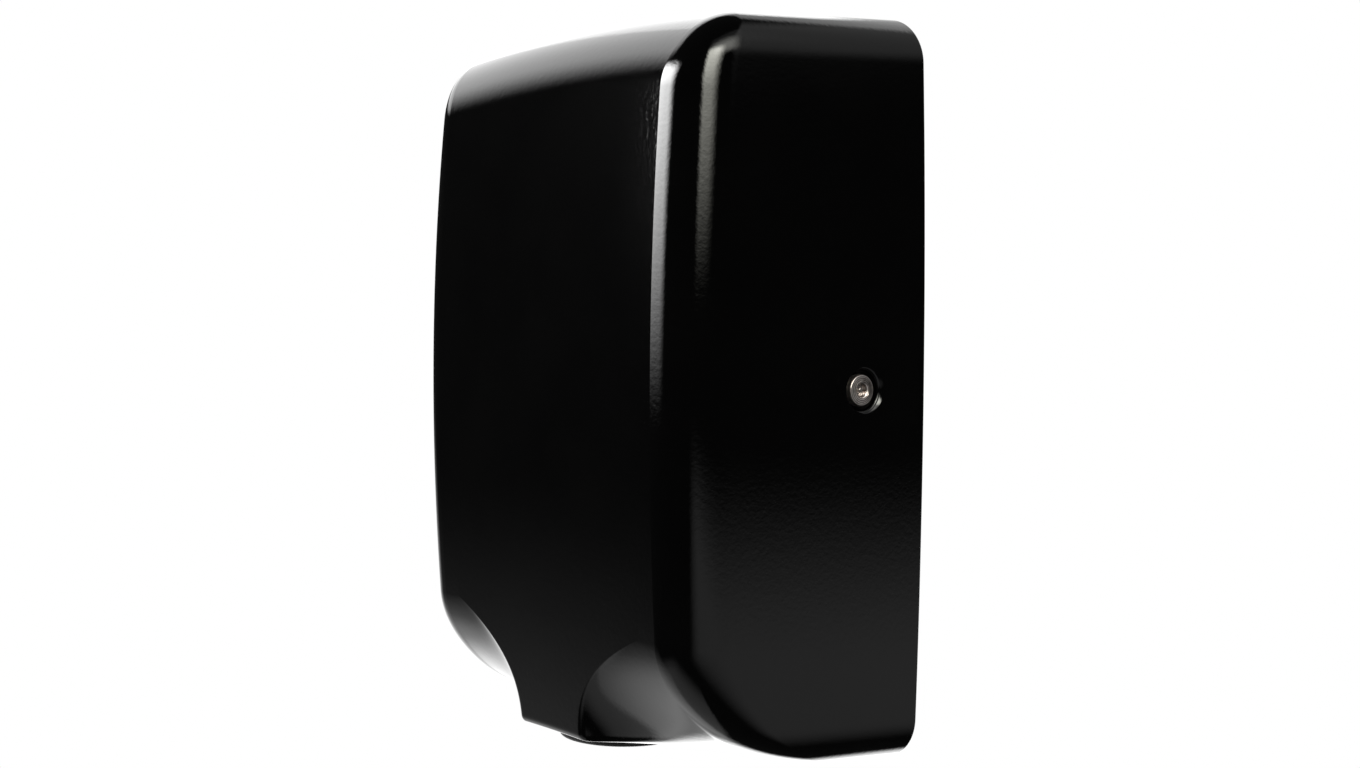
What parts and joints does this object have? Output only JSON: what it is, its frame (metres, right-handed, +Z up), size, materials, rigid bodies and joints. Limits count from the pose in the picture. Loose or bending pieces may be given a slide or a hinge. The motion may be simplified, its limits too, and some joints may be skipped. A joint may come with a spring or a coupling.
{
  "type": "hand dryer",
  "caption": "Compact wall-mounted hand dryer: one-piece black metal cover with a narrow nose, round air outlet below, and a lift-off cover over blower, heater and controls.",
  "frame": {"origin": "centre of the back plate on the wall plane, at the mid height of the cover", "axes": "+Y into the wall, +Z up, +X to the right as seen from the front"},
  "size_m": [0.1808, 0.0955, 0.252],
  "materials": {
    "black_coat": "gloss black powder coat with fine orange peel",
    "stainless": "turned stainless steel",
    "zinc_steel": "zinc-plated sheet steel",
    "black_plastic": "moulded black plastic",
    "grey_plastic": "moulded grey plastic",
    "white_plastic": "moulded white plastic",
    "rubber": "soft black rubber",
    "brass": "plain brass",
    "copper": "enamelled copper",
    "laminations": "stacked steel laminations",
    "aluminium": "plain aluminium",
    "carbon": "pressed carbon",
    "mica": "mica sheet",
    "heater_wire": "resistance wire",
    "circuit_board": "green solder mask",
    "foam": "open-cell foam",
    "dark_lens": "infra-red plastic",
    "clear_glass": "clear",
    "lead_jacket": "black sleeving",
    "earth_jacket": "green and yellow insulation",
    "heater_jacket": "glass-fibre sleeving"
  },
  "bodies": {
    "base": {"back_plate": "zinc_steel", "side_bracket_right": "zinc_steel", "side_bracket_left": "zinc_steel", "cable_grommet": "rubber", "terminal_block": "white_plastic", "terminal_screw_1": "brass", "terminal_screw_2": "brass", "terminal_screw_3": "brass", "earth_screw": "brass", "blower_casing": "black_plastic", "fan_inlet_cover": "black_plastic", "air_duct": "grey_plastic", "rubber_sleeve": "rubber", "casing_strap": "zinc_steel", "strap_screw_right": "zinc_steel", "strap_screw_left": "zinc_steel", "bearing_upper": "stainless", "bearing_lower": "stainless", "stator": "laminations", "field_coil_upper": "copper", "field_coil_lower": "copper", "bracket_upper": "aluminium", "bracket_lower": "grey_plastic", "brush_right": "carbon", "brush_left": "carbon", "brush_holder_right": "brass", "brush_holder_left": "brass", "heater_frame": "mica", "heater_coil": "heater_wire", "thermal_cutout": "aluminium", "control_board": "circuit_board", "relay": "black_plastic", "capacitor": "grey_plastic", "heat_sink": "aluminium", "triac": "black_plastic", "switch_housing": "black_plastic", "sensor_board": "circuit_board", "ir_emitter": "clear_glass", "ir_receiver": "dark_lens", "mains_lead": "lead_jacket", "earth_lead": "earth_jacket", "motor_lead": "lead_jacket", "heater_lead": "heater_jacket", "sensor_lead": "lead_jacket"},
    "cover": {"cover": "black_coat", "outlet_collar": "black_plastic", "sensor_window": "dark_lens", "filter_frame": "grey_plastic", "intake_filter": "foam"},
    "rotor": {"motor_shaft": "stainless", "armature": "laminations", "commutator": "copper", "impeller": "white_plastic", "impeller_nut": "brass"},
    "screw_right": {"cover_screw_right": "stainless"},
    "screw_left": {"cover_screw_left": "stainless"},
    "nut_right": {"cover_nut_right": "zinc_steel"},
    "nut_left": {"cover_nut_left": "zinc_steel"},
    "heater_switch": {"heater_switch": "white_plastic"},
    "range_trimmer": {"range_trimmer": "white_plastic"}
  },
  "joints": [
    {"name": "fan_spin", "type": "hinge", "parent": "base", "child": "rotor", "pos_m": [0, -0.048, -0.008], "axis": [0, 0, 1], "continuous": true},
    {"name": "cover_lift_off", "type": "slide", "parent": "base", "child": "cover", "axis": [0, -1, 0], "range_m": [0, 0.12]},
    {"name": "screw_right_turn", "type": "hinge", "parent": "cover", "child": "screw_right", "pos_m": [0.08, -0.026, -0.0015], "axis": [1, 0, 0], "range_deg": [0, 1080]},
    {"name": "screw_left_turn", "type": "hinge", "parent": "cover", "child": "screw_left", "pos_m": [-0.08, -0.026, -0.0015], "axis": [-1, 0, 0], "range_deg": [0, 1080]},
    {"name": "nut_right_back_off", "type": "slide", "parent": "cover", "child": "nut_right", "axis": [-1, 0, 0], "range_m": [0, 0.003]},
    {"name": "nut_left_back_off", "type": "slide", "parent": "cover", "child": "nut_left", "axis": [1, 0, 0], "range_m": [0, 0.003]},
    {"name": "heater_switch_rock", "type": "hinge", "parent": "base", "child": "heater_switch", "pos_m": [-0.058, -0.0205, 0.073], "axis": [1, 0, 0], "range_deg": [0, 18]},
    {"name": "range_trim", "type": "hinge", "parent": "base", "child": "range_trimmer", "pos_m": [0.019, -0.015, 0.071], "axis": [0, -1, 0], "range_deg": [0, 270]}
  ],
  "couplings": [
    {"joint": "screw_right_turn", "follows": "nut_right_back_off", "rad_per_m": 6283.2},
    {"joint": "screw_left_turn", "follows": "nut_left_back_off", "rad_per_m": 6283.2}
  ]
}
